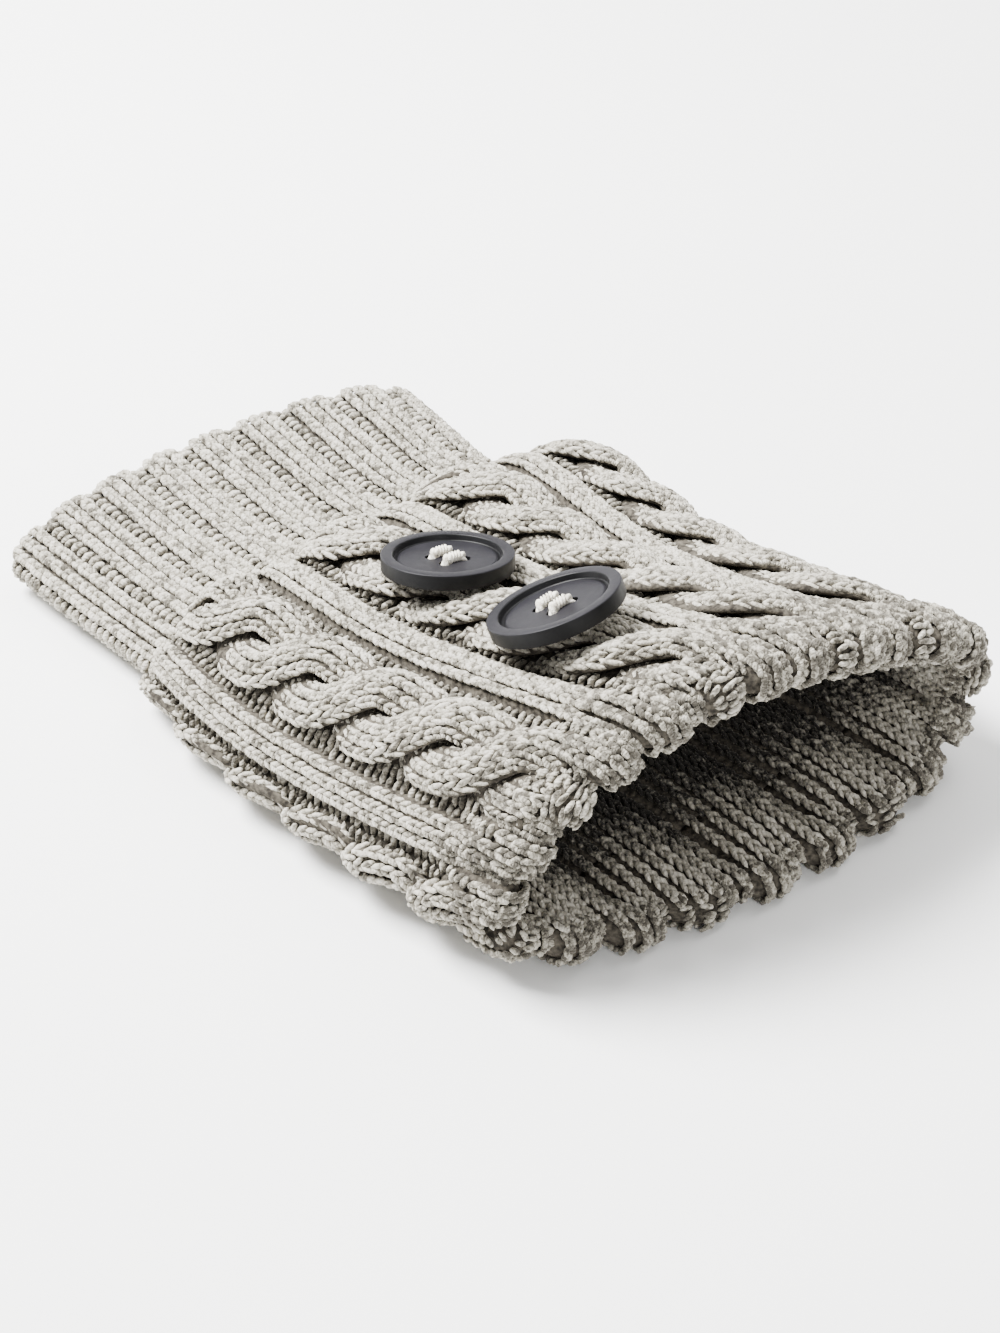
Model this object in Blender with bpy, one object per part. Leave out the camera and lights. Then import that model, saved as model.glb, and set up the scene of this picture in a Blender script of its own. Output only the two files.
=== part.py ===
"""Knitted boot cuff with two buttons, lying on its back face with the hem held open.

The cuff is a tube knitted in one piece: a ribbed band, a body of rope cables and a
thick cast-off hem. Two four-hole buttons are sewn on its upper face. X is the width of
the laid cuff, Y its length with the hem towards -Y, and Z is up. Sizes of the cloth are
in millimetres and are scaled to metres where the meshes are made.
"""

import math
from collections import namedtuple

import bmesh
import bpy
import numpy as np
from mathutils import Matrix, Vector

MM = 0.001

# Driving sizes of the cloth, in millimetres.
WALL = 2.6  # thickness of the knitted wall, less its relief
SEAM_GAP = 0.3  # clearance between pieces that touch on the real cuff
GROUND_LIFT = 1.4  # height of the mean underside, so that its ribs rest on the ground
RIBS_AROUND = 18  # knit ribs around the ribbed band
CABLES_AROUND = 8  # rope cables around the body
COLUMNS = 144  # facets around the tube
CABLE_TURN = -6.0 / COLUMNS  # where a cable runs, from the middle of the upper layer
RIB_RELIEF = 1.6  # knit rib above the purl trough in the band
CABLE_RELIEF = 4.0  # rope cable above the purl trough in the body
PLAIN_RELIEF = 2.4  # plain rib between cables above the purl trough
SUNK_SHARE = 0.45  # how much of a cable's relief lies under the mean outline
START_SHARE = 0.1  # how much of the body the ribs take to run into the cables
FINISH_SHARE = 0.15  # how much of the body the cables take to fade into the hem
HEM_RELIEF = 3.2  # flutes of the hem edge
HEM_ROLL = 1.8  # how much thicker the cast-off edge is than the wall
ROLL_START = 0.2  # where on its round section the roll starts, as a share of a half turn
ROLL_SPAN = 0.7  # how much of a half turn the roll takes
INNER_SHARE = 0.55  # how much of the relief shows on the inner face
SCALLOP = 1.8  # how far each knit rib runs past the troughs at the free edge
PRESS = 2.2  # how far a sewn button pulls the cloth down
PRESS_REACH = 19.0  # how far from a button's middle the cloth is pulled
CABLE_REACH = 0.33  # half width of a cable, as a share of one repeat
PLAIN_REACH = 0.14  # half width of the plain rib, as a share of one repeat

# Sections of the laid tube from the free edge of the band to the hem, in millimetres.
# "side" is y at the folds and "skew" is how much further it lies a half width to the
# right; the bows are what the middle of each layer adds. "centre" and "half" give the
# width, the folds and "top" are heights, "square" is how flat the upper layer is and
# "peak" is how far to the left its crest lies, as a share of the half width.
Section = namedtuple(
    "Section",
    "side skew bow_top bow_bottom centre half fold_left fold_right top square peak",
)
SEAM_SECTION = Section(33.3, 2.0, 0.0, 0.0, -8.5, 50.8, 6.2, 6.6, 15.4, 4.5, 0.0)
HEM_SECTION = Section(-63.2, -2.6, -2.8, -7.6, 4.9, 59.4, 11.6, 20.6, 47.4, 1.9, 0.1)
BAND_SECTIONS = [
    Section(80.2, 0.5, 7.0, 5.0, -10.1, 55.0, 6.2, 6.2, 14.4, 6.0, 0.0),
    Section(65.2, 0.8, 5.0, 3.8, -9.7, 53.8, 6.2, 6.2, 13.6, 6.0, 0.0),
    Section(49.2, 1.4, 3.2, 2.4, -9.3, 52.0, 6.2, 6.4, 13.4, 5.4, 0.0),
    SEAM_SECTION,
]
BODY_SECTIONS = [
    SEAM_SECTION._replace(side=SEAM_SECTION.side - SEAM_GAP),
    Section(27.8, 2.2, 0.8, 0.4, -3.9, 58.6, 8.2, 12.4, 23.0, 4.8, 0.0),
    Section(11.4, 2.0, 1.2, 0.6, -3.1, 60.8, 8.8, 13.0, 27.4, 3.8, 0.0),
    Section(-7.8, 1.0, 0.6, 0.0, -2.7, 60.4, 9.4, 14.0, 30.8, 3.0, 0.02),
    Section(-26.9, -0.4, -0.2, -2.0, -0.9, 59.8, 10.0, 15.6, 35.2, 2.5, 0.05),
    Section(-46.1, -1.6, -1.4, -4.6, 2.2, 60.0, 10.8, 17.8, 41.2, 2.2, 0.08),
    HEM_SECTION,
]
HEM_SECTIONS = [
    HEM_SECTION._replace(side=HEM_SECTION.side - SEAM_GAP),
    Section(-70.8, -3.2, -3.6, -9.4, 5.9, 59.2, 12.0, 22.4, 50.2, 1.8, 0.12),
    Section(-77.3, -3.6, -4.2, -10.8, 6.5, 58.4, 12.4, 23.6, 51.4, 1.8, 0.14),
]
SKEW_REACH = 55.0
BOTTOM_SQUARE = 5.0  # how flat the lower layer lies before it turns up at the folds
BAND_RINGS = 5
BODY_RINGS = 10
HEM_RINGS = 3

# Buttons: the middle of each on the upper layer, the rise of its face along X and Y, and
# how far its holes are turned, in degrees.
Button = namedtuple("Button", "name x y slope_x slope_y turn")
BUTTONS = [
    Button("button_1", -10.5, -7.4, -0.18, -0.24, -35.0),
    Button("button_2", -10.7, -42.9, 0.12, -0.47, -20.0),
]
BUTTON_RADIUS = 13.5
BUTTON_THICK = 3.2
BUTTON_RIM = 2.1  # width of the raised rim
DISH_DEPTH = 1.0  # how far the face lies below the rim
BUTTON_GAP = 0.35  # clearance over the cloth
HOLE_RADIUS = 1.15
HOLE_SPACING = 3.9  # between neighbouring holes
YARN_RADIUS = 0.75  # sewing yarn in the holes
BUTTON_SIDES = 40


def smooth(value):
    """Smoothstep of a value held between 0 and 1."""
    t = np.clip(value, 0.0, 1.0)
    return t * t * (3.0 - 2.0 * t)


def section_at(rows, share):
    """The section a share of the way along the rows, by a smooth curve through them."""
    table = np.array(rows)
    place = share * (len(rows) - 1)
    i = min(int(place), len(rows) - 2)
    t = place - i
    before = table[max(i - 1, 0)]
    after = table[min(i + 2, len(rows) - 1)]
    slope_in = (table[i + 1] - before) / (2.0 if i > 0 else 1.0)
    slope_out = (after - table[i]) / (2.0 if i < len(rows) - 2 else 1.0)
    blend = t * t * (3.0 - 2.0 * t)
    value = (
        (1.0 - blend) * table[i]
        + blend * table[i + 1]
        + (t - 2.0 * t**2 + t**3) * slope_in
        + (t**3 - t**2) * slope_out
    )
    return Section(*value)


def outline(row, points=7 * COLUMNS):
    """The section's closed mean outline, evenly spaced from the middle of the upper layer
    over the right fold, the lower layer and the left fold."""
    turn = np.linspace(0.0, 2.0 * math.pi, points, endpoint=False)
    across = np.sin(turn)
    upper = np.cos(turn) >= 0.0
    fold = row.fold_left + 0.5 * (1.0 + across) * (row.fold_right - row.fold_left)
    crest = across + row.peak * (1.0 - across**2)
    dome = np.clip(1.0 - np.abs(crest) ** row.square, 0.0, 1.0) ** (1.0 / 1.7)
    floor = np.clip(1.0 - np.abs(across) ** BOTTOM_SQUARE, 0.0, 1.0) ** 0.5
    z_upper = fold + (row.top - fold) * dome
    z_lower = fold + (GROUND_LIFT - fold) * floor
    bow = np.where(upper, row.bow_top, row.bow_bottom) * (1.0 - across**2)
    x = row.centre + row.half * across
    y = row.side + row.skew * x / SKEW_REACH + bow
    loop = np.stack([x, y, np.where(upper, z_upper, z_lower)], axis=1)
    closed = np.concatenate([loop, loop[:1]])
    steps = np.linalg.norm(np.diff(closed[:, [0, 2]], axis=0), axis=1)
    along = np.concatenate([[0.0], np.cumsum(steps)])
    even = np.linspace(0.0, along[-1], points, endpoint=False)
    return np.stack([np.interp(even, along, closed[:, k]) for k in range(3)], axis=1)


def outward(loop):
    """Unit directions square to the outline in its own section, away from the hollow."""
    ahead = np.roll(loop, -1, axis=0) - np.roll(loop, 1, axis=0)
    normal = np.stack([-ahead[:, 2], np.zeros(len(loop)), ahead[:, 0]], axis=1)
    return normal / np.linalg.norm(normal, axis=1, keepdims=True)


def rib_profile(turn):
    """1 on a knit rib of the band and 0 in a purl trough; turn is a share of the round."""
    return smooth((np.cos(2.0 * math.pi * RIBS_AROUND * turn) + 0.6) / 0.9)


def cable_profile(turn):
    """Height over the purl troughs around the body, in millimetres."""
    repeat = np.abs(((turn - CABLE_TURN) * CABLES_AROUND + 0.5) % 1.0 - 0.5)
    cable = np.clip(1.0 - (repeat / CABLE_REACH) ** 4, 0.0, 1.0) ** 0.5
    plain = np.clip(1.0 - ((0.5 - repeat) / PLAIN_REACH) ** 4, 0.0, 1.0)
    return CABLE_RELIEF * cable + PLAIN_RELIEF * plain


def band_relief(turn, share):
    """Height of the band's face over its mean outline."""
    return RIB_RELIEF * (rib_profile(turn) - 0.5)


def body_relief(turn, share):
    """Height of the body's face over its mean outline: ribs of the band run into cables,
    and the cables fade into the flutes of the hem."""
    start = smooth(share / START_SHARE)
    body = cable_profile(turn) - SUNK_SHARE * CABLE_RELIEF
    mixed = (1.0 - start) * band_relief(turn, share) + start * body
    finish = smooth((share - 1.0 + FINISH_SHARE) / FINISH_SHARE)
    return (1.0 - finish) * mixed + finish * flute(turn)


def flute(turn):
    """Broad flutes of the hem, high at the end of each cable."""
    return 0.5 * HEM_RELIEF * np.cos(2.0 * math.pi * CABLES_AROUND * (turn - CABLE_TURN))


def roll_share(share):
    """How much of the roll a place along the hem has, from 0 to 1."""
    return math.sin(math.pi * min(1.0, ROLL_START + ROLL_SPAN * share))


def hem_relief(turn, share):
    """Height of the hem's face over its mean outline, with the roll of the edge."""
    return flute(turn) + 0.5 * HEM_ROLL * roll_share(share)


def press(base):
    """How far the buttons pull down the upper layer at these points."""
    depth = np.zeros(len(base))
    for button in BUTTONS:
        away = np.hypot(base[:, 0] - button.x, base[:, 1] - button.y)
        depth = np.maximum(depth, PRESS * smooth(1.0 - away / PRESS_REACH))
    return np.where(base[:, 2] > 0.5 * BODY_SECTIONS[1].top, depth, 0.0)


def tube_rings(rows, rings, relief, free_edge=0.0, roll=0.0):
    """Outer and inner points of a length of tube, ring by ring, in millimetres."""
    turn = np.arange(COLUMNS) / COLUMNS
    outer = []
    inner = []
    for ring in range(rings):
        share = ring / (rings - 1)
        loop = outline(section_at(rows, share))
        pick = np.arange(COLUMNS) * (len(loop) // COLUMNS)
        away = outward(loop)[pick]
        base = loop[pick]
        if free_edge and ring == 0:
            base = base + np.outer(rib_profile(turn), [0.0, free_edge, 0.0])
        height = relief(turn, share)
        thick = WALL + 0.5 * roll * roll_share(share)
        face = base + away * height[:, None]
        back = base + away * (height * INNER_SHARE - thick)[:, None]
        pulled = press(base)
        face[:, 2] = np.maximum(face[:, 2] - pulled, 0.0)
        back[:, 2] -= pulled
        outer.append(face)
        inner.append(back)
    return np.array(outer), np.array(inner)


def material(name, colour, roughness, metallic=0.0):
    """A plain Principled material of the given colour."""
    made = bpy.data.materials.new(name)
    made.use_nodes = True
    shader = made.node_tree.nodes["Principled BSDF"]
    shader.inputs["Base Color"].default_value = (*colour, 1.0)
    shader.inputs["Roughness"].default_value = roughness
    shader.inputs["Metallic"].default_value = metallic
    made.diffuse_color = (*colour, 1.0)
    return made


def object_from(bm, name, slot):
    """A linked object that holds the bmesh, faces outward and smooth."""
    bmesh.ops.recalc_face_normals(bm, faces=bm.faces)
    for face in bm.faces:
        face.smooth = True
    mesh = bpy.data.meshes.new(name)
    bm.to_mesh(mesh)
    bm.free()
    mesh.materials.append(slot)
    made = bpy.data.objects.new(name, mesh)
    bpy.context.collection.objects.link(made)
    return made


def tube_object(name, rings, slot):
    """A wall of cloth between the outer and inner rings, closed at both ends."""
    outer, inner = rings
    bm = bmesh.new()
    faces = [
        [[bm.verts.new(Vector(point) * MM) for point in ring] for ring in side]
        for side in (outer, inner)
    ]
    for side in faces:
        for near, far in zip(side[:-1], side[1:]):
            for i in range(COLUMNS):
                j = (i + 1) % COLUMNS
                bm.faces.new((near[i], near[j], far[j], far[i]))
    for end in (0, -1):
        for i in range(COLUMNS):
            j = (i + 1) % COLUMNS
            bm.faces.new((faces[0][end][i], faces[0][end][j], faces[1][end][j], faces[1][end][i]))
    return object_from(bm, name, slot)


def face_normal(button):
    """The way the button faces."""
    return Vector((-button.slope_x, -button.slope_y, 1.0)).normalized()


def filled_in(rings, steps=6):
    """Points spread over the facets between the rings, for measuring clearances."""
    round_on = np.roll(rings, -1, axis=1)
    found = []
    for i in range(steps):
        along = rings + (round_on - rings) * i / steps
        for j in range(steps):
            found.append((along[:-1] + (along[1:] - along[:-1]) * j / steps).reshape(-1, 3))
    return np.concatenate(found)


def button_seat(button, cloth):
    """Where the middle of the button's underside lies: just over the highest cloth."""
    across = cloth[:, :2] - np.array([button.x, button.y])
    under = np.hypot(across[:, 0], across[:, 1]) < BUTTON_RADIUS + 2.0
    slopes = np.array([button.slope_x, button.slope_y])
    level = cloth[under, 2] - across[under] @ slopes
    height = level.max() + BUTTON_GAP / face_normal(button).z
    return Vector((button.x, button.y, height)) * MM


def holes():
    """Centres of the four holes on the button's face."""
    half = 0.5 * HOLE_SPACING
    return [(sx * half, sy * half) for sx in (-1, 1) for sy in (-1, 1)]


def button_profile():
    """Half section of the button, as radius and height from the underside's centre."""
    rim_in = BUTTON_RADIUS - BUTTON_RIM
    floor = BUTTON_THICK - DISH_DEPTH
    return [
        (0.0, 0.0),
        (BUTTON_RADIUS - 1.6, 0.0),
        (BUTTON_RADIUS - 0.5, 0.6),
        (BUTTON_RADIUS, 1.8),
        (BUTTON_RADIUS, BUTTON_THICK - 1.2),
        (BUTTON_RADIUS - 0.4, BUTTON_THICK - 0.4),
        (BUTTON_RADIUS - 1.1, BUTTON_THICK),
        (rim_in + 0.4, BUTTON_THICK - 0.2),
        (rim_in - 0.4, floor + 0.3),
        (rim_in - 1.6, floor),
        (0.0, floor - 0.2),
    ]


def lathe(bm, profile, sides):
    """A solid of revolution of the half section, which starts and ends on the axis."""
    rings = []
    for radius, height in profile:
        if radius == 0.0:
            rings.append([bm.verts.new(Vector((0.0, 0.0, height)) * MM)])
            continue
        angles = [2.0 * math.pi * i / sides for i in range(sides)]
        rings.append(
            [
                bm.verts.new(Vector((radius * math.cos(a), radius * math.sin(a), height)) * MM)
                for a in angles
            ]
        )
    for near, far in zip(rings[:-1], rings[1:]):
        for i in range(sides):
            j = (i + 1) % sides
            corners = [near[i % len(near)], near[j % len(near)], far[j % len(far)], far[i % len(far)]]
            bm.faces.new(list(dict.fromkeys(corners)))


def holes_cutter(name):
    """The four holes' drills, kept as a hidden cutter."""
    bm = bmesh.new()
    for x, y in holes():
        made = bmesh.ops.create_cone(
            bm,
            cap_ends=True,
            segments=12,
            radius1=HOLE_RADIUS * MM,
            radius2=HOLE_RADIUS * MM,
            depth=3.0 * BUTTON_THICK * MM,
        )
        bmesh.ops.translate(bm, verts=made["verts"], vec=Vector((x, y, 0.0)) * MM)
    mesh = bpy.data.meshes.new(name)
    bm.to_mesh(mesh)
    bm.free()
    cutter = bpy.data.objects.new(name, mesh)
    bpy.context.collection.objects.link(cutter)
    cutter.hide_render = True
    cutter.display_type = "WIRE"
    return cutter


def place(made, button, seat):
    """Lays an object made about the button's own axis on the cloth."""
    tilt = Vector((0.0, 0.0, 1.0)).rotation_difference(face_normal(button))
    made.rotation_euler = (tilt.to_matrix() @ turned(button)).to_euler()
    made.location = seat


def turned(button):
    """The button's turn about its own axis, as a matrix."""
    return Matrix.Rotation(math.radians(button.turn), 3, "Z")


def button_object(button, seat, slot):
    """A moulded button with a raised rim, a dished face and four holes."""
    bm = bmesh.new()
    lathe(bm, button_profile(), BUTTON_SIDES)
    made = object_from(bm, button.name, slot)
    cutter = holes_cutter(button.name + "_drill")
    drill = made.modifiers.new("four holes", "BOOLEAN")
    drill.operation = "DIFFERENCE"
    drill.solver = "EXACT"
    drill.object = cutter
    place(made, button, seat)
    place(cutter, button, seat)
    return made


def yarn_bar(name, x, button, seat, slot):
    """One bar of sewing yarn: up through a hole, over the face and down the next."""
    half = 0.5 * HOLE_SPACING
    floor = BUTTON_THICK - DISH_DEPTH
    bend = YARN_RADIUS + 0.45
    side = [
        (half, 0.0),
        (half, floor - 0.2),
        (half - 0.12, floor + 0.35),
        (half - 0.5, floor + bend - 0.2),
        (0.55 * half - 0.1, floor + bend),
    ]
    path = side + [(-y, z) for y, z in reversed(side)]
    curve = bpy.data.curves.new(name, "CURVE")
    curve.dimensions = "3D"
    curve.bevel_depth = YARN_RADIUS * MM
    curve.bevel_resolution = 2
    curve.use_fill_caps = True
    spline = curve.splines.new("POLY")
    spline.points.add(len(path) - 1)
    for point, (y, z) in zip(spline.points, path):
        point.co = (x * MM, y * MM, z * MM, 1.0)
    curve.materials.append(slot)
    made = bpy.data.objects.new(name, curve)
    bpy.context.collection.objects.link(made)
    place(made, button, seat)
    return made


def main():
    """Makes the cuff and its buttons."""
    for old in list(bpy.data.objects):
        bpy.data.objects.remove(old, do_unlink=True)
    yarn = material("oatmeal_yarn", (0.62, 0.59, 0.54), 0.95)
    plastic = material("charcoal_button", (0.055, 0.055, 0.065), 0.4)
    thread = material("sewing_yarn", (0.75, 0.73, 0.68), 0.9)

    band = tube_rings(BAND_SECTIONS, BAND_RINGS, band_relief, free_edge=SCALLOP)
    body = tube_rings(BODY_SECTIONS, BODY_RINGS, body_relief)
    hem = tube_rings(HEM_SECTIONS, HEM_RINGS, hem_relief, roll=HEM_ROLL)
    tube_object("ribbed_band", band, yarn)
    tube_object("cable_body", body, yarn)
    tube_object("hem_edge", hem, yarn)

    upper = np.concatenate([filled_in(body[0]), filled_in(hem[0])])
    upper = upper[upper[:, 2] > 0.5 * BODY_SECTIONS[1].top]
    for button in BUTTONS:
        seat = button_seat(button, upper)
        button_object(button, seat, plastic)
        number = button.name[-1]
        for side, x in (("left", -0.5 * HOLE_SPACING), ("right", 0.5 * HOLE_SPACING)):
            yarn_bar(f"sewing_yarn_{number}_{side}", x, button, seat, thread)


main()
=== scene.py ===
"""Knitted boot cuff with two buttons, laid on its back face with the hem held open.

The cuff is a tube of heather yarn: a ribbed band, a body of rope cables with plain ribs
and purl troughs between them, and a thick cast-off hem. A ground cloth, painted dark as
painted shade between the loops, carries the stitches, which stand on it loop by loop.
Sizes of the cloth are in millimetres and are scaled to metres where the meshes are made.
X is the width, Y the length with the hem towards -Y, and Z is up.
"""

import math
from collections import namedtuple

import bpy
import numpy as np
from mathutils import Matrix, Vector


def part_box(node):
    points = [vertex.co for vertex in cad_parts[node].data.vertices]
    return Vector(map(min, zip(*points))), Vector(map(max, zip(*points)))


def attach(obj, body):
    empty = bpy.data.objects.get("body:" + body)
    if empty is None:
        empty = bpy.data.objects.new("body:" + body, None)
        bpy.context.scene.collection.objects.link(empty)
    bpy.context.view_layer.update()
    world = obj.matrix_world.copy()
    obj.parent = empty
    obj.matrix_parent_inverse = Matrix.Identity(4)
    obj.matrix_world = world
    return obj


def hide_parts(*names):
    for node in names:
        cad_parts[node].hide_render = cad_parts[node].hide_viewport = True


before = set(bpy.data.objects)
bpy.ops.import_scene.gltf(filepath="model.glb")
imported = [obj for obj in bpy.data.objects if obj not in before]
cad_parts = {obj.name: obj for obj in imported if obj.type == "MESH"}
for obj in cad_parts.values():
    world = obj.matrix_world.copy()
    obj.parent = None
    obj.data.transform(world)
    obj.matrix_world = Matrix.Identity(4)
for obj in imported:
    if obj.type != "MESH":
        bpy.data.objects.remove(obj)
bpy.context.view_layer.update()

bl_info = {
    "name": "Knitted boot cuff",
    "version": (1, 0, 0),
    "blender": (4, 5, 0),
    "location": "View3D > Sidebar > Cuff",
    "description": "Builds a cabled boot cuff with its stitches, buttons and a plain stage",
    "category": "Object",
}

MM = 0.001
TURN = 2.0 * math.pi

# The cloth, in millimetres.
WALL = 2.6  # thickness of the band's wall
SEAM_GAP = 0.3  # between the band, the body and the hem
GROUND_LIFT = 1.4  # height of the mean underside
FLOOR_GAP = 0.03  # least height of any point over the floor
STITCH_LIFT = 0.55  # least height of a stitch's middle over the floor
RIBS_AROUND = 18  # knit ribs around the band
CABLES_AROUND = 8  # rope cables around the body
CABLE_TURN = -6.0 / 144.0  # middle of the cable under the buttons, as a share of the round
ROUND_POINTS = 756  # points around the mean surface
INNER_SHARE = 0.55  # how much of the band's relief shows on its inner face
RIB_RELIEF = 1.1  # knit rib above the purl trough in the band
SCALLOP = 3.5  # how far each rib of the band runs past the troughs at the free edge
SKEW_REACH = 55.0  # half width that the skew of a section is given for
BOTTOM_SQUARE = 5.0  # how flat the lower layer is
INSET = 1.0  # how far the ground cloth lies inside both faces
SHELL_ROW = 1.5  # length of a facet of the ground cloth

# The laid tube from the free edge of the band to the hem, in millimetres. "side" is y at
# the folds, "skew" how much further it lies a half width to the right, and the bows are
# what the middle of each layer adds. "centre" and "half" give the width, the folds and
# "top" are heights, "square" is how flat the upper layer is and "peak" how far to the left
# its crest lies, as a share of the half width.
Section = namedtuple(
    "Section",
    "side skew bow_top bow_bottom centre half fold_left fold_right top square peak",
)
SEAM_SECTION = Section(33.3, 2.0, 0.0, 0.0, -8.5, 50.8, 6.2, 6.6, 15.4, 4.5, 0.0)
HEM_SECTION = Section(-63.2, -2.6, -2.8, -7.6, 4.9, 59.4, 11.6, 20.6, 47.4, 1.9, 0.1)
BAND_SECTIONS = [
    Section(80.2, 0.5, 7.0, 5.0, -10.1, 55.0, 6.2, 6.2, 14.4, 6.0, 0.0),
    Section(65.2, 0.8, 5.0, 3.8, -9.7, 53.8, 6.2, 6.2, 13.6, 6.0, 0.0),
    Section(49.2, 1.4, 3.2, 2.4, -9.3, 52.0, 6.2, 6.4, 13.4, 5.4, 0.0),
    SEAM_SECTION,
]
BODY_SECTIONS = [
    SEAM_SECTION._replace(side=SEAM_SECTION.side - SEAM_GAP),
    Section(27.8, 2.2, 0.8, 0.4, -3.9, 58.6, 8.2, 12.4, 23.0, 4.8, 0.0),
    Section(11.4, 2.0, 1.2, 0.6, -3.1, 60.8, 8.8, 13.0, 27.4, 3.8, 0.0),
    Section(-7.8, 1.0, 0.6, 0.0, -2.7, 60.4, 9.4, 14.0, 30.8, 3.0, 0.02),
    Section(-26.9, -0.4, -0.2, -2.0, -0.9, 59.8, 10.0, 15.6, 35.2, 2.5, 0.05),
    Section(-46.1, -1.6, -1.4, -4.6, 2.2, 60.0, 10.8, 17.8, 41.2, 2.2, 0.08),
    HEM_SECTION,
]
HEM_SECTIONS = [
    HEM_SECTION._replace(side=HEM_SECTION.side - SEAM_GAP),
    Section(-70.8, -3.2, -3.6, -9.4, 5.9, 59.2, 12.0, 22.4, 50.2, 1.8, 0.12),
    Section(-77.3, -3.6, -4.2, -10.8, 6.5, 58.4, 12.4, 23.6, 51.4, 1.8, 0.14),
]
LENGTHS = ((BAND_SECTIONS, 44), (BODY_SECTIONS, 96), (HEM_SECTIONS, 16))  # and rings in each

# Stitches, in millimetres.
RIB_COLUMN = 3.12  # between the three knit columns of a rib of the band
BODY_KINDS = ["cable"] * 4 + ["purl"] + ["plain"] * 3 + ["purl"] + ["cable"] * 4  # one repeat
ROW = 2.1  # height of a row
INNER_ROW = 2.3  # height of a row on the inner face
STRAND_ROW = 2.2  # height of a row along a strand of a cable
INNER_DEPTH = 64.0  # how far into the mouth the stitches are carried
CABLE_PITCH = 20.5  # between crossings
CABLE_START = 62.8  # first crossing, from the free edge
CABLE_SWING = 5.2  # how far a strand's middle runs to each side of the rope
STRAND_COLUMN = 2.6  # between columns of a strand
STRAND_HALF = 5.7  # half width of a strand's round section
STRAND_RISE = 3.6  # height of a strand's round section
LOBES_AROUND = 24  # rounded lobes of the cast-off hem, three to a repeat
LOBE_SHARE = 0.27  # middle of a lobe, in repeats from the middle of a cable
LIP_SCALLOP = 3.6  # how far a lobe of the hem stands past the dips between
LIP_THICK = 6.8  # through the rolled lip
FOLDED_CABLE = 6  # the cable that the left fold runs along, pressed flatter than the others
CROSS_LIFT = 1.9  # how much higher a strand passes over than it lies beside
CROSS_SHARP = 0.32  # how much more sharply a strand crosses than an even wave does
SLANT = 0.06  # how far the columns lean over the right shoulder, as a share of the round

# Buttons, in millimetres: the middle of each, the rise of its face along X and Y, and how
# far its holes are turned, in degrees.
Spot = namedtuple("Spot", "name x y slope_x slope_y turn")
BUTTONS = (
    Spot("button_1", -10.5, -7.4, -0.18, -0.24, -90.0),
    Spot("button_2", -10.7, -42.9, 0.12, -0.47, -90.0),
)
BUTTON_RADIUS = 13.5
BUTTON_THICK = 3.2
PRESS = 2.2  # how far a sewn button pulls the cloth down
PRESS_REACH = 19.0  # how far from a button's middle the cloth is pulled
BUTTON_CLEAR = 0.9  # from the button's underside to the middle of a stitch under it
HOLE_SPACING = 4.7  # between neighbouring holes
HOLE_RADIUS = 1.3
# Width and rise of the groove's floor, its inner wall and the dished face inside it.
GROOVE_STEPS = ((0.6, 0.0), (0.4, 0.3), (3.5, -0.1))


def smooth(value):
    """Smoothstep of a value held between 0 and 1."""
    t = np.clip(value, 0.0, 1.0)
    return t * t * (3.0 - 2.0 * t)


def unit(vectors):
    """The vectors at length one."""
    return vectors / np.maximum(np.linalg.norm(vectors, axis=-1, keepdims=True), 1e-9)


def section_at(rows, share):
    """The section a share of the way along the rows, by a smooth curve through them."""
    table = np.array(rows)
    place = share * (len(rows) - 1)
    i = min(int(place), len(rows) - 2)
    t = place - i
    before = table[max(i - 1, 0)]
    after = table[min(i + 2, len(rows) - 1)]
    slope_in = (table[i + 1] - before) / (2.0 if i > 0 else 1.0)
    slope_out = (after - table[i]) / (2.0 if i < len(rows) - 2 else 1.0)
    blend = smooth(t)
    value = (
        (1.0 - blend) * table[i]
        + blend * table[i + 1]
        + (t - 2.0 * t**2 + t**3) * slope_in
        + (t**3 - t**2) * slope_out
    )
    return Section(*value)


def outline(row):
    """The section's closed mean outline, evenly spaced from the middle of the upper layer
    over the right fold, the lower layer and the left fold."""
    turn = np.linspace(0.0, TURN, ROUND_POINTS, endpoint=False)
    across = np.sin(turn)
    upper = np.cos(turn) >= 0.0
    fold = row.fold_left + 0.5 * (1.0 + across) * (row.fold_right - row.fold_left)
    crest = across + row.peak * (1.0 - across**2)
    dome = np.clip(1.0 - np.abs(crest) ** row.square, 0.0, 1.0) ** (1.0 / 1.7)
    floor = np.clip(1.0 - np.abs(across) ** BOTTOM_SQUARE, 0.0, 1.0) ** 0.5
    z_upper = fold + (row.top - fold) * dome
    z_lower = fold + (GROUND_LIFT - fold) * floor
    bow = np.where(upper, row.bow_top, row.bow_bottom) * (1.0 - across**2)
    x = row.centre + row.half * across
    y = row.side + row.skew * x / SKEW_REACH + bow
    loop = np.stack([x, y, np.where(upper, z_upper, z_lower)], axis=1)
    closed = np.concatenate([loop, loop[:1]])
    steps = np.linalg.norm(np.diff(closed[:, [0, 2]], axis=0), axis=1)
    along = np.concatenate([[0.0], np.cumsum(steps)])
    even = np.linspace(0.0, along[-1], ROUND_POINTS, endpoint=False)
    return np.stack([np.interp(even, along, closed[:, k]) for k in range(3)], axis=1)


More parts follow.
